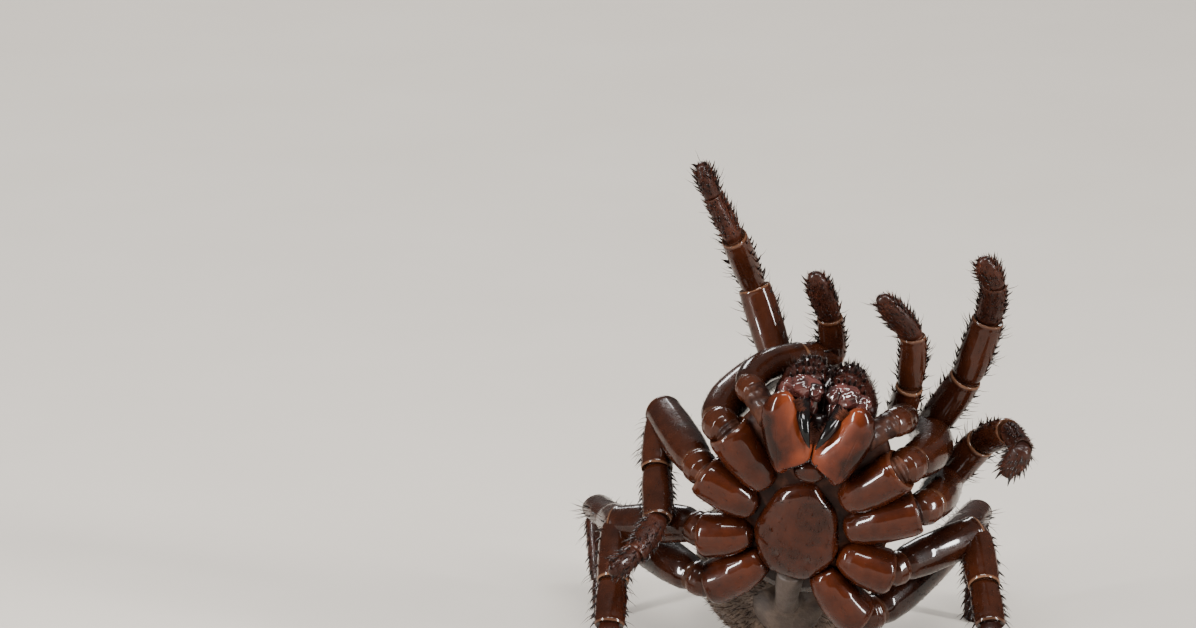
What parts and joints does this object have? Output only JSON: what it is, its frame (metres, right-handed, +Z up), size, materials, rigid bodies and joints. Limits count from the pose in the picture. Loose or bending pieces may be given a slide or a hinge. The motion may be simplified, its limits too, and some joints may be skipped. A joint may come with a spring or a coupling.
{
  "type": "trapdoor spider",
  "caption": "Life-size still model of a trapdoor spider rearing up with its fangs open and its front legs and palps raised, resting on its hind legs and abdomen.",
  "frame": {"origin": "on the floor under the middle of the bounding box", "axes": "+Z up, along the reared body; the belly faces -Y, the abdomen lies towards +Y, and the animal's left is towards +X"},
  "size_m": [0.023, 0.023, 0.0271],
  "materials": {
    "shell": "glossy dark red-brown shell with fine hairs",
    "belly_shell": "glossy orange-brown to red-brown belly shell",
    "jaw_shell": "wet-looking dark brown shell",
    "fang_shell": "polished black",
    "skin": "dull grey-brown skin under short hair",
    "eye": "clear dark eye"
  },
  "bodies": {
    "root": {"carapace": "shell", "sternum": "belly_shell", "labium": "belly_shell", "pedicel": "skin", "abdomen": "skin", "spinneret_right": "skin", "chelicera_right": "jaw_shell", "fang_right": "fang_shell", "maxilla_right": "belly_shell", "eye_front_inner_right": "eye", "eye_front_outer_right": "eye", "eye_back_inner_right": "eye", "eye_back_outer_right": "eye", "leg_1_coxa_right": "belly_shell", "leg_1_femur_right": "shell", "leg_1_tibia_right": "shell", "leg_1_tarsus_right": "shell", "leg_2_coxa_right": "belly_shell", "leg_2_femur_right": "shell", "leg_2_tibia_right": "shell", "leg_2_tarsus_right": "shell", "leg_3_coxa_right": "belly_shell", "leg_3_femur_right": "shell", "leg_3_tibia_right": "shell", "leg_3_tarsus_right": "shell", "leg_4_coxa_right": "belly_shell", "leg_4_femur_right": "shell", "leg_4_tibia_right": "shell", "leg_4_tarsus_right": "shell", "palp_femur_right": "shell", "palp_tibia_right": "shell", "palp_tarsus_right": "shell", "spinneret_left": "skin", "chelicera_left": "jaw_shell", "fang_left": "fang_shell", "maxilla_left": "belly_shell", "eye_front_inner_left": "eye", "eye_front_outer_left": "eye", "eye_back_inner_left": "eye", "eye_back_outer_left": "eye", "leg_1_coxa_left": "belly_shell", "leg_1_femur_left": "shell", "leg_1_tibia_left": "shell", "leg_1_tarsus_left": "shell", "leg_2_coxa_left": "belly_shell", "leg_2_femur_left": "shell", "leg_2_tibia_left": "shell", "leg_2_tarsus_left": "shell", "leg_3_coxa_left": "belly_shell", "leg_3_femur_left": "shell", "leg_3_tibia_left": "shell", "leg_3_tarsus_left": "shell", "leg_4_coxa_left": "belly_shell", "leg_4_femur_left": "shell", "leg_4_tibia_left": "shell", "leg_4_tarsus_left": "shell", "palp_femur_left": "shell", "palp_tibia_left": "shell", "palp_tarsus_left": "shell"}
  },
  "joints": []
}
